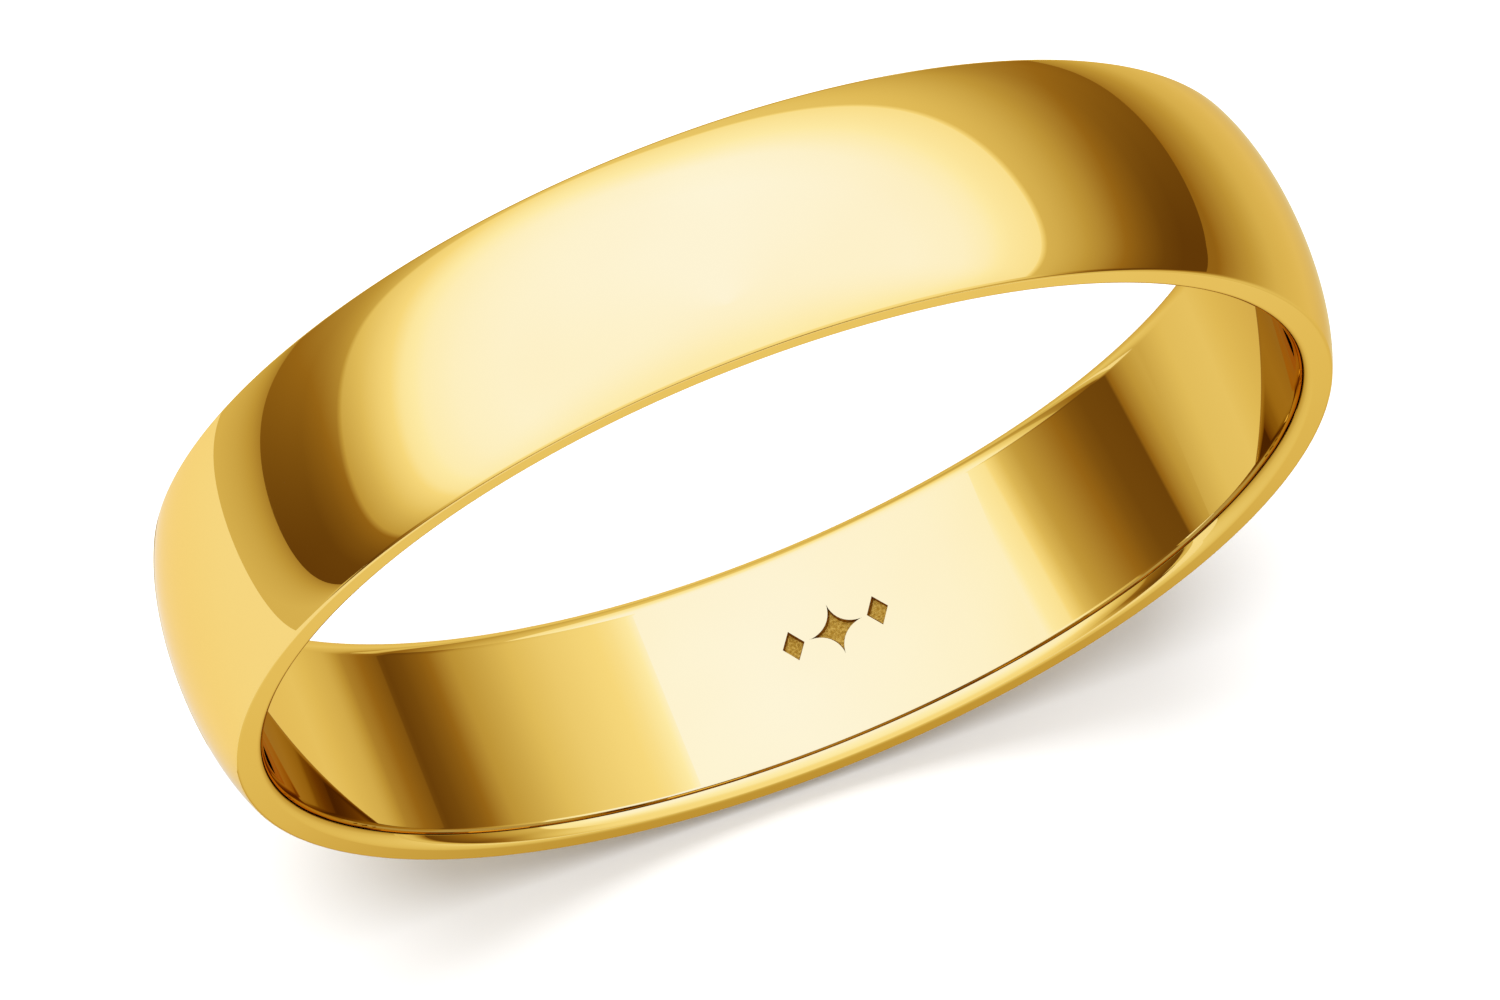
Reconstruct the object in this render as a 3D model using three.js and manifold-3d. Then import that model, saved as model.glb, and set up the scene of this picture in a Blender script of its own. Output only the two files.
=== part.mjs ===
// Plain half-round wedding band, one solid ring of gold, standing on its rim.
// Millimetres, +Z up. The finger axis runs along Y and the origin is the centre of the ring.
import * as THREE from 'three';
import { mergeVertices } from 'three/addons/utils/BufferGeometryUtils.js';
import Module from 'manifold-3d';

// Driving dimensions of the band. The dome is an arc of an ellipse that is centred on the bore's
// surface and wider than the band, so the flat side faces cut its ends off.
const BORE_DIAMETER = 18.2;
const BAND_WIDTH = 4.0;
const CROWN_THICKNESS = 0.9;
const DOME_ELLIPSE_WIDTH = 5.0;
const OUTER_EDGE_RADIUS = 0.08;

// The inner edges are rounded so that the band slides over a knuckle.
const EASE_WIDTH = 0.33;
const EASE_DEPTH = 0.2;

// Engraved ornament inside the band: a four-pointed star between two lozenges. Its angle is
// measured from the ring's lowest point towards +X, and its offset from the middle towards +Y.
const MARK_ANGLE = THREE.MathUtils.degToRad(11);
const MARK_OFFSET = 0.2;
const MARK_DEPTH = 0.08;
const STAR_REACH = 0.5;
const STAR_WAIST = 0.17;
const LOZENGE_HALF_WIDTH = 0.2;
const LOZENGE_HALF_HEIGHT = 0.28;
const LOZENGE_SPACING = 0.78;

// Fineness of the faceted surface.
const TURN_STEPS = 96;
const DOME_STEPS = 12;
const EDGE_STEPS = 3;
const EASE_STEPS = 5;

const boreRadius = BORE_DIAMETER / 2;
const halfWidth = BAND_WIDTH / 2;
const domeHalfSpan = DOME_ELLIPSE_WIDTH / 2;

// Where the dome gives way to the rounded outer edge: the dome's angle on its ellipse, and the
// slope of the surface there, which the rounding takes up.
function domeEnd() {
  const edgeMiddle = halfWidth - OUTER_EDGE_RADIUS;
  let angle = Math.asin(edgeMiddle / domeHalfSpan);
  let slope = 0;
  for (let round = 0; round < 4; round += 1) {
    slope = Math.atan2(CROWN_THICKNESS * Math.sin(angle), domeHalfSpan * Math.cos(angle));
    angle = Math.asin((edgeMiddle + OUTER_EDGE_RADIUS * Math.sin(slope)) / domeHalfSpan);
  }
  return { angle, slope };
}

// Cross-section of the band as (radius, distance along the finger), closed on itself: domed
// outside, rounded outer edges, flat sides, eased inner edges and a straight bore.
function bandSection() {
  const { angle, slope } = domeEnd();
  const edgeMiddle = halfWidth - OUTER_EDGE_RADIUS;
  const domeEndRadius = boreRadius + CROWN_THICKNESS * Math.cos(angle);
  const edgeRadius = domeEndRadius - OUTER_EDGE_RADIUS * Math.cos(slope);
  const edge = [OUTER_EDGE_RADIUS, OUTER_EDGE_RADIUS];
  const dome = new THREE.EllipseCurve(boreRadius, 0, CROWN_THICKNESS, domeHalfSpan, -angle, angle);
  const backEdge = new THREE.EllipseCurve(edgeRadius, edgeMiddle, ...edge, slope, Math.PI / 2);
  const frontEdge = new THREE.EllipseCurve(edgeRadius, -edgeMiddle, ...edge, -Math.PI / 2, -slope);
  const easeRadius = boreRadius + EASE_DEPTH;
  const easeStart = halfWidth - EASE_WIDTH;
  const ease = [EASE_DEPTH, EASE_WIDTH];
  const backEase = new THREE.EllipseCurve(easeRadius, easeStart, ...ease, Math.PI / 2, Math.PI);
  const frontEase = new THREE.EllipseCurve(easeRadius, -easeStart, ...ease, Math.PI, 1.5 * Math.PI);
  const points = [
    ...dome.getPoints(DOME_STEPS),
    ...backEdge.getPoints(EDGE_STEPS).slice(1),
    ...backEase.getPoints(EASE_STEPS),
    ...frontEase.getPoints(EASE_STEPS),
    ...frontEdge.getPoints(EDGE_STEPS).slice(0, -1),
  ];
  points.push(points[0].clone());
  return points;
}

// Outline through points that alternate between two reaches, one pair per arm.
function starShape() {
  const shape = new THREE.Shape();
  const corners = 8;
  for (let corner = 0; corner < corners; corner += 1) {
    const reach = corner % 2 === 0 ? STAR_REACH : STAR_WAIST;
    const angle = (corner / corners) * 2 * Math.PI;
    const x = reach * Math.cos(angle);
    const y = reach * Math.sin(angle);
    if (corner === 0) {
      shape.moveTo(x, y);
    } else {
      shape.lineTo(x, y);
    }
  }
  shape.closePath();
  return shape;
}

function lozengeShape() {
  const shape = new THREE.Shape();
  shape.moveTo(LOZENGE_HALF_WIDTH, 0);
  shape.lineTo(0, LOZENGE_HALF_HEIGHT);
  shape.lineTo(-LOZENGE_HALF_WIDTH, 0);
  shape.lineTo(0, -LOZENGE_HALF_HEIGHT);
  shape.closePath();
  return shape;
}

// Prism that stands across the wall of the bore, at an angle from the ring's lowest point
// towards +X, and reaches the engraving's depth into the metal.
function markCutter(shape, angle) {
  const reachIntoBore = 4 * MARK_DEPTH;
  const depth = reachIntoBore + MARK_DEPTH;
  const geometry = new THREE.ExtrudeGeometry(shape, { depth, bevelEnabled: false });
  geometry.translate(0, MARK_OFFSET, boreRadius - reachIntoBore);
  geometry.rotateY(Math.PI - angle);
  return geometry;
}

const wasm = await Module();
wasm.setup();

function toSolid(geometry) {
  const bare = geometry.clone();
  bare.deleteAttribute('normal');
  bare.deleteAttribute('uv');
  const merged = mergeVertices(bare);
  return new wasm.Manifold(new wasm.Mesh({
    numProp: 3,
    vertProperties: new Float32Array(merged.attributes.position.array),
    triVerts: new Uint32Array(merged.index.array),
  }));
}

function toGeometry(solid) {
  const mesh = solid.getMesh();
  const geometry = new THREE.BufferGeometry();
  geometry.setAttribute('position', new THREE.BufferAttribute(mesh.vertProperties, 3));
  geometry.setIndex(new THREE.BufferAttribute(mesh.triVerts, 1));
  geometry.computeVertexNormals();
  return geometry;
}

function bandGeometry() {
  const lozengeTurn = LOZENGE_SPACING / boreRadius;
  const cutters = [
    markCutter(starShape(), MARK_ANGLE),
    markCutter(lozengeShape(), MARK_ANGLE - lozengeTurn),
    markCutter(lozengeShape(), MARK_ANGLE + lozengeTurn),
  ];
  let solid = toSolid(new THREE.LatheGeometry(bandSection(), TURN_STEPS));
  for (const cutter of cutters) {
    solid = solid.subtract(toSolid(cutter));
  }
  return toGeometry(solid);
}

const polishedGold = new THREE.MeshStandardMaterial({
  color: 0xe3b34d,
  roughness: 0.1,
  metalness: 1,
});

const ring = new THREE.Group();
const band = new THREE.Mesh(bandGeometry(), polishedGold);
band.name = 'band';
ring.add(band);

export default ring;
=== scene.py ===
"""Looks of the wedding band: a fine mirror-polished gold ring with an engraved ornament, standing on
a pale floor in soft studio light. Metres, +Z up, finger axis along Y, ring centre at the origin."""
import math

import bmesh
import bpy
import numpy as np
from mathutils import Matrix, Vector


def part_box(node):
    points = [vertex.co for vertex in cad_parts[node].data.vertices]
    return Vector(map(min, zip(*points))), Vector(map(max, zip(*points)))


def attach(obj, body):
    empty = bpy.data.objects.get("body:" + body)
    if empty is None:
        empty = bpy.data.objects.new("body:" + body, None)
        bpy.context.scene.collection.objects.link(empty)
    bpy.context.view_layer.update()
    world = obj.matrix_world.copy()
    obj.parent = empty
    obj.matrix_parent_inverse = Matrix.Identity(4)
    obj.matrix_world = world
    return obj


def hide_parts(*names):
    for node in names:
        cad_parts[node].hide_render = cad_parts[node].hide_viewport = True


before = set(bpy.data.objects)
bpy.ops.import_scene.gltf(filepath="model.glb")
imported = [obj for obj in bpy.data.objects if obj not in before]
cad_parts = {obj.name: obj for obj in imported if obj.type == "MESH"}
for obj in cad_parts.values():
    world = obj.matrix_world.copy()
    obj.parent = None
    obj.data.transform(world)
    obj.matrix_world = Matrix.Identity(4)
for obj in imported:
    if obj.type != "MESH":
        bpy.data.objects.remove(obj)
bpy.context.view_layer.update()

# Sizes of the band, in metres. The dome is an arc of an ellipse centred on the bore's surface.
MM = 0.001
low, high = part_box("band")
CROWN_RADIUS = (high.x - low.x) / 2
HALF_WIDTH = (high.y - low.y) / 2
CROWN_THICKNESS = 0.9 * MM
BORE_RADIUS = CROWN_RADIUS - CROWN_THICKNESS
DOME_HALF_SPAN = 2.5 * MM
OUTER_EDGE_RADIUS = 0.08 * MM
FLOOR_Z = low.z

# Inner edges, rounded so that the band slides over a knuckle.
EASE_WIDTH = 0.33 * MM
EASE_DEPTH = 0.2 * MM

# Engraving, as in the CAD model: angle from the lowest point towards +X, offset towards +Y.
MARK_ANGLE = math.radians(11)
MARK_OFFSET = 0.2 * MM
MARK_DEPTH = 0.08 * MM
STAR_REACH = 0.5 * MM
STAR_POWER = 3.6
LOZENGE_HALF_WIDTH = 0.2 * MM
LOZENGE_HALF_HEIGHT = 0.28 * MM
LOZENGE_SPACING = 0.78 * MM
FLOOR_INSET = 0.86

# Fineness of the surface.
TURN_STEPS = 512
DOME_STEPS = 44
EDGE_STEPS = 8
EASE_STEPS = 20
BORE_STEPS = 10

# Reflectance of polished yellow gold.
GOLD = (0.96, 0.70, 0.22, 1)
GOLD_AT_GRAZING = (1.0, 0.86, 0.58, 1)
WARM_GOLD = (0.955, 0.68, 0.205, 1)
# Engraving: gold darkened by painted shade in the recess, with a lighter painted glint on its grain.
ENGRAVED_GOLD_IN_PAINTED_SHADE = (0.50, 0.24, 0.015, 1)
ENGRAVED_GLINT = (0.70, 0.38, 0.04, 1)

# Camera: a long lens, high in front of the ring and a little to its left.
CAMERA_AZIMUTH = math.radians(-20.68)
CAMERA_ELEVATION = math.radians(67.18)
CAMERA_DISTANCE = 243.8 * MM
CAMERA_LENS = 354.3
AIM_OFFSET = (0.086 * MM, -0.525 * MM)


# ---------------------------------------------------------------- band

def arc(centre, radii, start, end, steps):
    """Places (radius, along) on an elliptical arc of the band's section, each with its normal."""
    rows = []
    for step in range(steps + 1):
        angle = start + (end - start) * step / steps
        cosine, sine = math.cos(angle), math.sin(angle)
        place = (centre[0] + radii[0] * cosine, centre[1] + radii[1] * sine)
        normal = Vector((cosine / radii[0], sine / radii[1])).normalized()
        rows.append((place, tuple(normal)))
    return rows


def half_section():
    """Section of one half of the band, from the crown round the side to the middle of the bore.
    Each row is ((radius, along), (normal)), with +along towards the side of the half."""
    quarter = math.pi / 2
    edge_middle = HALF_WIDTH - OUTER_EDGE_RADIUS
    dome_end = math.asin(edge_middle / DOME_HALF_SPAN)
    for _ in range(4):
        slope = math.atan2(CROWN_THICKNESS * math.sin(dome_end), DOME_HALF_SPAN * math.cos(dome_end))
        dome_end = math.asin((edge_middle + OUTER_EDGE_RADIUS * math.sin(slope)) / DOME_HALF_SPAN)
    rows = arc((BORE_RADIUS, 0), (CROWN_THICKNESS, DOME_HALF_SPAN), 0, dome_end, DOME_STEPS)
    edge_radius = BORE_RADIUS + CROWN_THICKNESS * math.cos(dome_end) - OUTER_EDGE_RADIUS * math.cos(slope)
    edge = (OUTER_EDGE_RADIUS, OUTER_EDGE_RADIUS)
    rows += arc((edge_radius, edge_middle), edge, slope, quarter, EDGE_STEPS)[1:]
    ease_start = HALF_WIDTH - EASE_WIDTH
    rows += arc((BORE_RADIUS + EASE_DEPTH, ease_start), (EASE_DEPTH, EASE_WIDTH), quarter, 2 * quarter,
                EASE_STEPS)
    for step in range(1, BORE_STEPS + 1):
        rows.append(((BORE_RADIUS, ease_start * (1 - step / BORE_STEPS)), (-1, 0)))
    return rows


def band_section():
    """The whole closed section: the back half, then the front half."""
    back = half_section()
    front = [((r, -y), (nr, -ny)) for (r, y), (nr, ny) in back]
    return back + front[1:-1][::-1]


def band_mesh():
    """The section turned about the Y axis as quads."""
    outline = [place for place, _ in band_section()]
    count = len(outline)
    vertices = []
    for turn in range(TURN_STEPS):
        angle = 2 * math.pi * turn / TURN_STEPS
        vertices += [(r * math.sin(angle), y, r * math.cos(angle)) for r, y in outline]
    faces = []
    for turn in range(TURN_STEPS):
        here = turn * count
        there = (turn + 1) % TURN_STEPS * count
        for row in range(count):
            after = (row + 1) % count
            faces.append((here + row, there + row, there + after, here + after))
    mesh = bpy.data.meshes.new("gold_band")
    mesh.from_pydata(vertices, [], faces)
    return mesh


# ---------------------------------------------------------------- engraving

def star_outline():
    """Four-pointed star with hollow sides."""
    points = []
    steps = 64
    for step in range(steps):
        angle = 2 * math.pi * step / steps
        cosine, sine = math.cos(angle), math.sin(angle)
        u = math.copysign(abs(cosine) ** STAR_POWER, cosine) * STAR_REACH
        v = math.copysign(abs(sine) ** STAR_POWER, sine) * STAR_REACH
        points.append((u, v))
    return points


def lozenge_outline():
    return [(LOZENGE_HALF_WIDTH, 0), (0, LOZENGE_HALF_HEIGHT),
            (-LOZENGE_HALF_WIDTH, 0), (0, -LOZENGE_HALF_HEIGHT)]


def in_bore(u, v, depth, offset):
    """Place of a point (u around the bore, v along it) that lies depth into the metal."""
    angle = MARK_ANGLE + (u + offset) / BORE_RADIUS
    radius = BORE_RADIUS + depth
    return (radius * math.sin(angle), MARK_OFFSET + v, -radius * math.cos(angle))


def cutter(name, outline, offset, material):
    """Closed prism with slightly leaning walls that cuts one ornament to the engraving's depth."""
    above = -MARK_DEPTH
    top_scale = 1 + (1 - FLOOR_INSET)
    top = [in_bore(u * top_scale, v * top_scale, above, offset) for u, v in outline]
    bottom = [in_bore(u * FLOOR_INSET, v * FLOOR_INSET, MARK_DEPTH, offset) for u, v in outline]
    count = len(outline)
    vertices = top + bottom + [in_bore(0, 0, above, offset), in_bore(0, 0, MARK_DEPTH, offset)]
    top_centre = 2 * count
    bottom_centre = 2 * count + 1
    faces = []
    for index in range(count):
        after = (index + 1) % count
        faces.append((index, after, count + after, count + index))
        faces.append((after, index, top_centre))
        faces.append((count + index, count + after, bottom_centre))
    mesh = bpy.data.meshes.new(name)
    mesh.from_pydata(vertices, [], faces)
    mesh.validate()
    mesh.materials.append(material)
    piece = bpy.data.objects.new(name, mesh)
    bpy.context.scene.collection.objects.link(piece)
    recalculate_normals(mesh)
    return piece


def recalculate_normals(mesh):
    work = bmesh.new()
    work.from_mesh(mesh)
    bmesh.ops.recalc_face_normals(work, faces=work.faces)
    work.to_mesh(mesh)
    work.free()


def engrave(band, engraved_material):
    """Cuts the star and the lozenges into the bore."""
    cutters = [
        cutter("star_cutter", star_outline(), 0, engraved_material),
        cutter("left_lozenge_cutter", lozenge_outline(), -LOZENGE_SPACING, engraved_material),
        cutter("right_lozenge_cutter", lozenge_outline(), LOZENGE_SPACING, engraved_material),
    ]
    for piece in cutters:
        modifier = band.modifiers.new(piece.name, "BOOLEAN")
        modifier.operation = "DIFFERENCE"
        modifier.solver = "EXACT"
        modifier.material_mode = "TRANSFER"
        modifier.object = piece
    graph = bpy.context.evaluated_depsgraph_get()
    cut = bpy.data.meshes.new_from_object(band.evaluated_get(graph))
    band.modifiers.clear()
    band.data = cut
    for piece in cutters:
        bpy.data.objects.remove(piece)


# ---------------------------------------------------------------- smooth normals

def smooth_band(mesh):
    """Gives each corner of the turned surface the true normal of the section there, and keeps the
    engraved faces flat."""
    section = band_section()
    places = np.array([point for point, _ in section])
    normals = np.array([normal for _, normal in section])
    corner_normals = np.zeros((len(mesh.loops), 3))
    for face in mesh.polygons:
        face.use_smooth = True
        engraved = mesh.materials[face.material_index].name == "engraved_gold"
        centre = face.center
        centre_r = math.hypot(centre.x, centre.z)
        radial = Vector((centre.x, 0, centre.z)) / centre_r
        face_normal = np.array((face.normal.dot(radial), face.normal.y))
        for loop in face.loop_indices:
            if engraved:
                corner_normals[loop] = face.normal
                continue
            vertex = mesh.vertices[mesh.loops[loop].vertex_index].co
            radius = math.hypot(vertex.x, vertex.z)
            corner_normals[loop] = section_normal(radius, vertex, places, normals, face_normal)
    mesh.normals_split_custom_set(corner_normals.tolist())


def section_normal(radius, vertex, places, normals, face_normal):
    """Normal at a vertex: the section's where a row of it lies there, or else the face's own."""
    gap = np.hypot(places[:, 0] - radius, places[:, 1] - vertex.y)
    nearest = np.argmin(gap)
    normal = normals[nearest]
    if gap[nearest] > 1e-8 or normal @ face_normal < 0.9:
        normal = face_normal
    return (normal[0] * vertex.x / radius, normal[1], normal[0] * vertex.z / radius)


# ---------------------------------------------------------------- materials

class Nodes:
    """Short hand for building a node tree."""

    def __init__(self, tree):
        self.tree = tree

    def add(self, kind, **settings):
        node = self.tree.nodes.new(kind)
        for name, value in settings.items():
            setattr(node, name, value)
        return node

    def link(self, source, target):
        self.tree.links.new(source, target)

    def math(self, operation, first, second=None):
        node = self.add("ShaderNodeMath", operation=operation)
        for socket, value in zip(node.inputs, (first, second)):
            if value is None:
                continue
            if isinstance(value, (int, float)):
                socket.default_value = value
            else:
                self.link(value, socket)
        return node.outputs[0]

    def span(self, value, low_in, high_in, low_out, high_out, smooth=False):
        node = self.add("ShaderNodeMapRange")
        node.interpolation_type = "SMOOTHSTEP" if smooth else "LINEAR"
        self.link(value, node.inputs["Value"])
        node.inputs["From Min"].default_value = low_in
        node.inputs["From Max"].default_value = high_in
        node.inputs["To Min"].default_value = low_out
        node.inputs["To Max"].default_value = high_out
        return node.outputs[0]

    def ramp(self, value, stops):
        """Colour ramp with stops of (place, colour or grey)."""
        node = self.add("ShaderNodeValToRGB")
        elements = node.color_ramp.elements
        while len(elements) < len(stops):
            elements.new(0.5)
        for element, (place, colour) in zip(elements, stops):
            if isinstance(colour, (int, float)):
                colour = (colour, colour, colour)
            element.position = place
            element.color = (*colour, 1)
        self.link(value, node.inputs[0])
        return node.outputs[0]

    def mix(self, factor, first, second):
        node = self.add("ShaderNodeMix", data_type="RGBA")
        self.link(factor, node.inputs[0])
        for socket, value in zip((node.inputs[6], node.inputs[7]), (first, second)):
            if isinstance(value, tuple):
                socket.default_value = value
            else:
                self.link(value, socket)
        return node.outputs[2]


def new_material(name):
    material = bpy.data.materials.new(name)
    material.use_nodes = True
    material.node_tree.nodes.clear()
    return material, Nodes(material.node_tree)


def gold_shader(nodes):
    """Metal of the ring. Its colour and its roughness are linked by the material."""
    shader = nodes.add("ShaderNodeBsdfPrincipled")
    shader.inputs["Metallic"].default_value = 1
    shader.inputs["Specular Tint"].default_value = GOLD_AT_GRAZING
    output = nodes.add("ShaderNodeOutputMaterial")
    nodes.link(shader.outputs[0], output.inputs[0])
    return shader


def stretched_noise(nodes, around, along, detail):
    """Noise on the band whose grain has its own scale (per metre) around the ring and along the finger."""
    place = nodes.add("ShaderNodeVectorMath", operation="MULTIPLY")
    nodes.link(nodes.add("ShaderNodeTexCoord").outputs["Object"], place.inputs[0])
    place.inputs[1].default_value = (around, along, around)
    noise = nodes.add("ShaderNodeTexNoise")
    noise.inputs["Scale"].default_value = 1
    noise.inputs["Detail"].default_value = detail
    nodes.link(place.outputs[0], noise.inputs["Vector"])
    return noise.outputs[0]


def relief(nodes, shader, height, distance):
    """Bumps of the given depth in metres."""
    bump = nodes.add("ShaderNodeBump")
    bump.inputs["Strength"].default_value = 1
    bump.inputs["Distance"].default_value = distance
    nodes.link(height, bump.inputs["Height"])
    nodes.link(bump.outputs[0], shader.inputs["Normal"])


def polished_gold():
    """Mirror polish with the faintest traces of the buffing wheel round the band, and patches where
    handling has dulled it a little."""
    material, nodes = new_material("polished_gold")
    shader = gold_shader(nodes)
    tint = nodes.span(stretched_noise(nodes, 260, 260, 2), 0.3, 0.7, 0, 1)
    nodes.link(nodes.mix(tint, GOLD, WARM_GOLD), shader.inputs["Base Color"])
    lines = stretched_noise(nodes, 90, 16000, 3)
    patches = nodes.span(stretched_noise(nodes, 420, 700, 3), 0.45, 0.75, 0, 1, smooth=True)
    dulled = nodes.math("MULTIPLY", nodes.span(lines, 0.35, 0.75, 0.2, 1), patches)
    nodes.link(nodes.span(dulled, 0, 1, 0.008, 0.05), shader.inputs["Roughness"])
    relief(nodes, shader, lines, 0.00002 * MM)
    return material


def engraved_gold():
    """Frosted floor and walls of the engraving, the gold darkened there by painted shade in the recess and
    flecked with painted glints on the grain.
    """
    material, nodes = new_material("engraved_gold")
    shader = gold_shader(nodes)
    grain = stretched_noise(nodes, 22000, 22000, 3)
    nodes.link(nodes.mix(nodes.span(grain, 0.35, 0.65, 0, 1), ENGRAVED_GOLD_IN_PAINTED_SHADE, ENGRAVED_GLINT),
               shader.inputs["Base Color"])
    nodes.link(nodes.span(grain, 0.3, 0.7, 0.6, 0.4), shader.inputs["Roughness"])
    relief(nodes, shader, grain, 0.012 * MM)
    return material


# ---------------------------------------------------------------- studio

# Colour that the gold sees at a level of light, from deep brown shade to the middle of a soft box.
PEAK = 3.1
# Painted shade: light seen by a second reflection in the gold is darkened by this factor.
PAINTED_SECOND_BOUNCE_SHADE = (0.46, 0.42, 0.36)
TONE_STOPS = (
    (0.0, (0.13, 0.06, 0.010)),
    (0.2, (0.32, 0.185, 0.035)),
    (0.4, (0.55, 0.44, 0.18)),
    (0.6, (0.78, 0.72, 0.46)),
    (0.8, (0.97, 0.99, 0.93)),
    (0.9, (1.03, 1.19, 1.75)),
    (1.0, (1.03, 1.30, 3.06)),
)

# Whiteness of the paper, and the darker grey painted into its reflection in the polish. The polish sees it
# only as a disc near the ring.
PAPER = (0.9, 0.9, 0.9, 1)
PAPER_PAINTED_GREY_IN_POLISH = (0.55, 0.56, 0.58, 1)
NEAR_PAPER_CENTRE = (-17 * MM, -10 * MM)
NEAR_PAPER_RADIUS = 29 * MM
FAR_PAPER_RADIUS = 3

# Surroundings as the paper and the camera see them: colour and strength.
ROOM_COLOUR = (0.96, 0.97, 1, 1)
ROOM_STRENGTH = 0.78
BACKDROP_COLOUR = (1, 1, 1, 1)
BACKDROP_STRENGTH = 1.05

# Overhead light of the paper: where it lies from the ring, its width as an angle, and its strength.
OVERHEAD_DIRECTION = (-0.02, 0.05, 0.30)
OVERHEAD_WIDTH = math.radians(52)
OVERHEAD_STRENGTH = 3.2

# Bore cards: part of the way down at which the cut of the near corner ends, and the distance in
# millimetres from which a card shows, which is more than the outside of the band is away.
CUT_END = 0.13
BORE_CARD_REACH = 7.5

# Elevation in degrees of the soft boxes' lower edges at the sides. They come down towards the back.
LEFT_BOX_EDGE = 9.9
RIGHT_BOX_EDGE = 27.6
BOX_EDGE_DROP = 3

# Level of light by the elevation above the box's edge, in degrees, seen in the polish towards each side.
LEFT_WALL = ((-20, 0.0), (-10, 0.02), (-5, 0.09), (-0.1, 0.20), (0.1, 0.38), (5, 0.52), (10, 0.70),
             (15, 0.86), (20, 0.92), (27, 0.95), (37, 0.97))
RIGHT_WALL = ((-33, 0.0), (-28, 0.03), (-23, 0.11), (-18, 0.21), (-13, 0.33), (-8, 0.43), (-3, 0.51),
              (-0.1, 0.54), (0.1, 0.84), (7, 0.88), (12, 0.93), (17, 0.96), (27, 0.98))
LEFT_BACK = ((-31, 0.2), (-18, 0.36), (-8, 0.50), (-3, 0.59), (-0.1, 0.66), (0.1, 0.80), (7, 0.88),
             (12, 0.91), (20, 0.94), (30, 0.97), (45, 1.0))
RIGHT_BACK = ((-47, 0.2), (-35, 0.40), (-25, 0.49), (-20, 0.56), (-5, 0.65), (-0.1, 0.66), (0.1, 0.83),
              (5, 0.86), (10, 0.89), (15, 0.93), (20, 0.98), (30, 1.0))
FRONT = ((0, 0.80), (10, 0.82), (20, 0.88), (35, 0.91), (60, 0.93))


def gold_tone(nodes, level):
    """Emission colour for a level of light, divided by PEAK. Light that reaches the eye by two reflections
    in the gold is painted darker still, a painted shade that stands in for the ring's own shade in a real
    studio."""
    stops = [(place, tuple(channel / PEAK for channel in colour)) for place, colour in TONE_STOPS]
    direct = nodes.ramp(level, stops)
    bounced = nodes.add("ShaderNodeVectorMath", operation="MULTIPLY")
    nodes.link(direct, bounced.inputs[0])
    bounced.inputs[1].default_value = PAINTED_SECOND_BOUNCE_SHADE
    depth = nodes.add("ShaderNodeLightPath").outputs["Glossy Depth"]
    return nodes.mix(nodes.math("GREATER_THAN", depth, 1.5), direct, bounced.outputs[0])


def studio_world():
    """Plain white for the camera and for light on the floor; soft boxes and walls for reflections."""
    world = bpy.data.worlds.new("studio")
    bpy.context.scene.world = world
    world.use_nodes = True
    world.node_tree.nodes.clear()
    world.cycles.sampling_method = "NONE"
    nodes = Nodes(world.node_tree)
    axes = nodes.add("ShaderNodeSeparateXYZ")
    nodes.link(nodes.add("ShaderNodeTexCoord").outputs["Generated"], axes.inputs[0])
    x, y, z = axes.outputs
    level_part = nodes.math("SQRT", nodes.math("SUBTRACT", 1.0001, nodes.math("MULTIPLY", z, z)))
    facing_back = nodes.math("DIVIDE", y, level_part)
    to_right = nodes.span(x, -0.7, 0.15, 0, 1, smooth=True)
    box_edge = nodes.math("SUBTRACT", nodes.span(to_right, 0, 1, LEFT_BOX_EDGE, RIGHT_BOX_EDGE),
                          nodes.math("MULTIPLY", facing_back, BOX_EDGE_DROP))
    elevation = nodes.math("MULTIPLY", nodes.math("ARCSINE", z), 180 / math.pi)
    above_edge = nodes.span(nodes.math("SUBTRACT", elevation, box_edge), -90, 90, 0, 1)

    def wall(stops):
        return nodes.ramp(above_edge, [(degrees / 180 + 0.5, level) for degrees, level in stops])

    to_back = nodes.math("POWER", nodes.math("MAXIMUM", facing_back, 0.0), 2.0)
    front_start = nodes.math("SUBTRACT", nodes.math("MULTIPLY", z, 0.63), 0.55)
    to_front = nodes.span(nodes.math("SUBTRACT", y, front_start), 0, -0.45, 0, 1, smooth=True)
    left = nodes.mix(to_back, wall(LEFT_WALL), wall(LEFT_BACK))
    right = nodes.mix(to_back, wall(RIGHT_WALL), wall(RIGHT_BACK))
    level = nodes.mix(to_front, nodes.mix(to_right, left, right), wall(FRONT))
    reflected = nodes.add("ShaderNodeBackground")
    nodes.link(gold_tone(nodes, level), reflected.inputs["Color"])
    reflected.inputs["Strength"].default_value = PEAK
    plain = nodes.add("ShaderNodeBackground")
    plain.inputs["Color"].default_value = ROOM_COLOUR
    plain.inputs["Strength"].default_value = ROOM_STRENGTH
    seen = nodes.add("ShaderNodeBackground")
    seen.inputs["Color"].default_value = BACKDROP_COLOUR
    seen.inputs["Strength"].default_value = BACKDROP_STRENGTH
    rays = nodes.add("ShaderNodeLightPath")
    first = nodes.add("ShaderNodeMixShader")
    nodes.link(rays.outputs["Is Glossy Ray"], first.inputs[0])
    nodes.link(plain.outputs[0], first.inputs[1])
    nodes.link(reflected.outputs[0], first.inputs[2])
    second = nodes.add("ShaderNodeMixShader")
    nodes.link(rays.outputs["Is Camera Ray"], second.inputs[0])
    nodes.link(first.outputs[0], second.inputs[1])
    nodes.link(seen.outputs[0], second.inputs[2])
    output = nodes.add("ShaderNodeOutputWorld")
    nodes.link(second.outputs[0], output.inputs[0])


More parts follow.
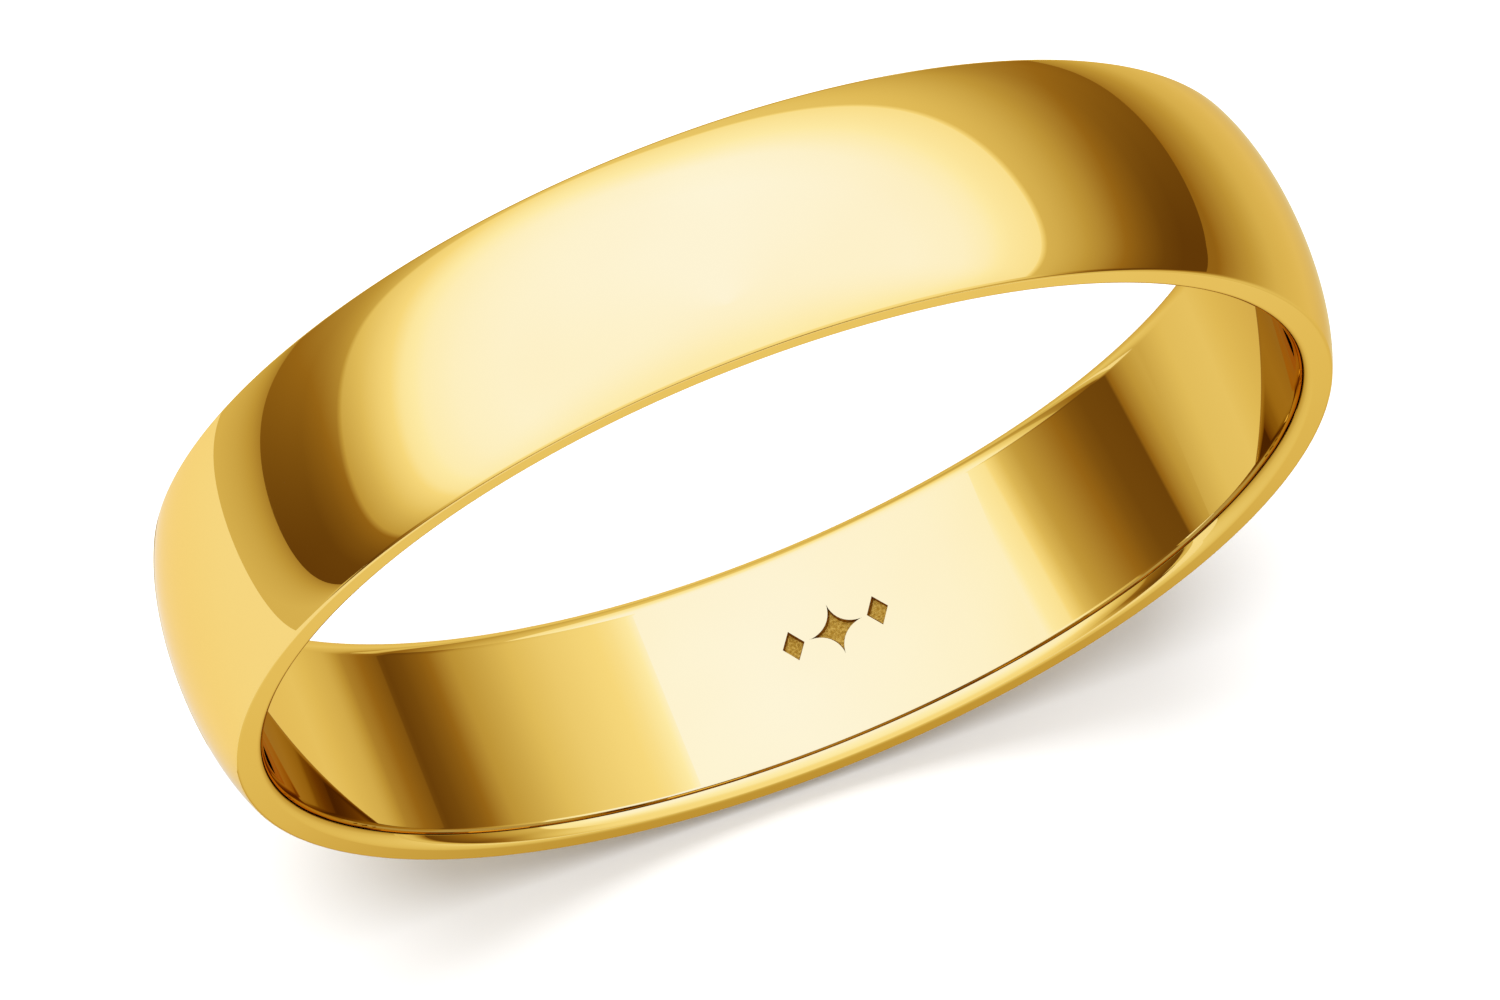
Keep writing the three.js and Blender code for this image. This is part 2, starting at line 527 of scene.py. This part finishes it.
def plate(name, inner, outer, centre=(0, 0), steps=128):
    """Flat plate at the floor's height between two circles, or a whole disc when inner is 0."""
    def circle(radius, middle):
        turns = [2 * math.pi * step / steps for step in range(steps)]
        return [(middle[0] + radius * math.cos(t), middle[1] + radius * math.sin(t), FLOOR_Z) for t in turns]

    if inner == 0:
        vertices = circle(outer, centre)
        faces = [tuple(range(steps))]
    else:
        vertices = circle(inner, centre) + circle(outer, centre)
        faces = [(s, steps + s, steps + (s + 1) % steps, (s + 1) % steps) for s in range(steps)]
    mesh = bpy.data.meshes.new(name)
    mesh.from_pydata(vertices, [], faces)
    piece = bpy.data.objects.new(name, mesh)
    bpy.context.scene.collection.objects.link(piece)
    return piece


def pale_floor():
    """White paper: the part near the ring shows in the polish, painted a darker grey there as a painted
    reflection; the rest is for the camera only.
    """
    material, nodes = new_material("white_paper")
    shader = nodes.add("ShaderNodeBsdfDiffuse")
    reflected = nodes.add("ShaderNodeLightPath").outputs["Is Glossy Ray"]
    nodes.link(nodes.mix(reflected, PAPER, PAPER_PAINTED_GREY_IN_POLISH), shader.inputs["Color"])
    output = nodes.add("ShaderNodeOutputMaterial")
    nodes.link(shader.outputs[0], output.inputs[0])
    near = plate("floor_near", 0, NEAR_PAPER_RADIUS, NEAR_PAPER_CENTRE)
    far = plate("floor_far", NEAR_PAPER_RADIUS, FAR_PAPER_RADIUS, NEAR_PAPER_CENTRE)
    far.visible_glossy = False
    for piece in (near, far):
        piece.data.materials.append(material)


def glow_card(name, corners, direction, stops, reach=0):
    """Card that only the polish sees, from no nearer than reach. Its corners are in millimetres, and
    its level of light goes by the stops (place in millimetres along the direction, level)."""
    mesh = bpy.data.meshes.new(name)
    mesh.from_pydata([tuple(MM * part for part in corner) for corner in corners], [], [range(len(corners))])
    card = bpy.data.objects.new(name, mesh)
    bpy.context.scene.collection.objects.link(card)
    material, nodes = new_material(name + "_glow")
    along = nodes.add("ShaderNodeVectorMath", operation="DOT_PRODUCT")
    nodes.link(nodes.add("ShaderNodeTexCoord").outputs["Object"], along.inputs[0])
    along.inputs[1].default_value = Vector(direction) / MM
    first, last = stops[0][0], stops[-1][0]
    place = nodes.span(along.outputs["Value"], first, last, 0, 1)
    level = nodes.ramp(place, [((at - first) / (last - first), light) for at, light in stops])
    glow = nodes.add("ShaderNodeEmission")
    nodes.link(gold_tone(nodes, level), glow.inputs["Color"])
    glow.inputs["Strength"].default_value = PEAK
    length = nodes.add("ShaderNodeLightPath").outputs["Ray Length"]
    shown = nodes.add("ShaderNodeMixShader")
    nodes.link(nodes.math("GREATER_THAN", length, reach * MM), shown.inputs[0])
    nodes.link(nodes.add("ShaderNodeBsdfTransparent").outputs[0], shown.inputs[1])
    nodes.link(glow.outputs[0], shown.inputs[2])
    output = nodes.add("ShaderNodeOutputMaterial")
    nodes.link(shown.outputs[0], output.inputs[0])
    mesh.materials.append(material)
    card.visible_camera = False
    card.visible_diffuse = False
    card.visible_shadow = False
    material.cycles.emission_sampling = "NONE"


def upright_card(name, start, end, near_y, far_y, cut, lean, stops):
    """Glow card for the bore that runs along Y between two points of the XZ plane, with its near
    corner at the start cut off to the depth of cut. Its stops are fractions of the way from start
    to end, and lean turns their lines away from Y. The outside of the band is too near to see it."""
    below = (start[0] + CUT_END * (end[0] - start[0]), start[1] + CUT_END * (end[1] - start[1]))
    corners = [(start[0], near_y + cut, start[1]), (below[0], near_y, below[1]), (end[0], near_y, end[1]),
               (end[0], far_y, end[1]), (start[0], far_y, start[1])]
    middle_y = (near_y + far_y) / 2
    way = Vector((end[0] - start[0], 0, end[1] - start[1]))
    direction = way.normalized() + Vector((0, lean, 0))
    begin = Vector((start[0], middle_y, start[1])).dot(direction)
    stops = [(begin + part * way.length, level) for part, level in stops]
    glow_card(name, corners, direction, stops, reach=BORE_CARD_REACH)


def studio_cards():
    """Glowing table top and cards round the ring that only the polish sees: painted reflections that break
    up the white of the soft boxes.
    """
    above = FLOOR_Z / MM + 0.05
    below = FLOOR_Z / MM - 0.05
    right_table = [(10.5, -60), (92, -60), (83, 4), (62, 36), (44, 54), (10.5, 70)]
    glow_card("table_right", [(x, y, above) for x, y in right_table], (1, 0, 0),
              ((10, 0.66), (12.5, 0.60), (16, 0.56), (20, 0.60), (29, 0.53), (35, 0.44), (41, 0.37),
               (52, 0.28), (69, 0.18)))
    left_table = [(-139, -98), (-176, -45), (0, 79), (37, 26)]
    glow_card("table_left", [(x, y, below) for x, y in left_table], (-0.574, 0.819, 0),
              ((30, 0.53), (40, 0.47), (50, 0.40), (66, 0.27)))
    behind = [(-9.85, 2.2), (12.05, 2.2), (12.05, 15), (-9.85, 15)]
    glow_card("floor_behind", [(x, y, above + 0.05) for x, y in behind], (1, 0, 0),
              ((-9.8, 0.47), (-7, 0.53), (-4, 0.61), (0, 0.65), (3, 0.57), (6, 0.51), (10.7, 0.35),
               (12, 0.31)))
    # Painted shadow: the front floor card is darkest next to the ring, where the ring's shadow lies on the
    # floor that the polish sees.
    front = [(-13, -12), (13, -12), (13, -2.05), (-13, -2.05)]
    glow_card("floor_front", [(x, y, above + 0.1) for x, y in front], (0, -1, 0),
              ((2, 0.38), (3, 0.44), (4.5, 0.56), (6, 0.60), (8, 0.64), (12, 0.70)))
    upright_card("bore_card_right", (6.7, 7.8), (12, -9.95), 3.5, 11, 1.4, 0,
                 ((0, 0.95), (0.04, 0.89), (0.11, 0.83), (0.22, 0.77), (0.32, 0.70), (0.42, 0.60),
                  (0.50, 0.48), (0.58, 0.38), (0.64, 0.22), (0.68, 0.14), (0.74, 0.06), (0.80, 0.02),
                  (0.82, 0.04), (0.825, 0.10), (0.89, 0.18), (0.95, 0.26), (1, 0.31)))
    upright_card("bore_card_left", (-10.05, 3.4), (-9.8, -9.95), 4.2, 10, 0.9, 0.35,
                 ((0, 0.95), (0.05, 0.89), (0.13, 0.85), (0.17, 0.72), (0.21, 0.57), (0.28, 0.42),
                  (0.36, 0.33), (0.43, 0.25), (0.49, 0.19), (0.56, 0.10), (0.63, 0.05), (0.785, 0.03),
                  (0.80, 0.18), (0.84, 0.27), (0.91, 0.39), (1, 0.47)))


def soft_light(name, towards, width, power):
    """Far, wide overhead light that lights the paper evenly. The polish sees the soft boxes instead."""
    light = bpy.data.lights.new(name, "SUN")
    light.angle = width
    light.energy = power
    lamp = bpy.data.objects.new(name, light)
    lamp.rotation_euler = (-Vector(towards)).to_track_quat("-Z", "Y").to_euler()
    lamp.visible_glossy = False
    lamp.visible_camera = False
    bpy.context.scene.collection.objects.link(lamp)


def camera():
    azimuth, elevation = CAMERA_AZIMUTH, CAMERA_ELEVATION
    back = Vector((math.sin(azimuth) * math.cos(elevation), -math.cos(azimuth) * math.cos(elevation),
                   math.sin(elevation)))
    right = Vector((math.cos(azimuth), math.sin(azimuth), 0))
    up = back.cross(right)
    data = bpy.data.cameras.new("camera")
    data.sensor_width = 36
    data.lens = CAMERA_LENS
    data.clip_start = 10 * MM
    data.clip_end = 10
    eye = bpy.data.objects.new("camera", data)
    place = back * CAMERA_DISTANCE + right * AIM_OFFSET[0] + up * AIM_OFFSET[1]
    eye.matrix_world = Matrix.Translation(place) @ Matrix((right, up, back)).transposed().to_4x4()
    bpy.context.scene.collection.objects.link(eye)
    bpy.context.scene.camera = eye


# ---------------------------------------------------------------- the scene

camera()

band = bpy.data.objects.new("gold_band", band_mesh())
bpy.context.scene.collection.objects.link(band)
band.data.materials.append(polished_gold())
engrave(band, engraved_gold())
smooth_band(band.data)
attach(band, "root")
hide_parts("band")

studio_world()
pale_floor()
studio_cards()
soft_light("overhead_light", OVERHEAD_DIRECTION, OVERHEAD_WIDTH, OVERHEAD_STRENGTH)

view = bpy.context.scene.view_settings
view.view_transform = "Standard"
view.look = "None"
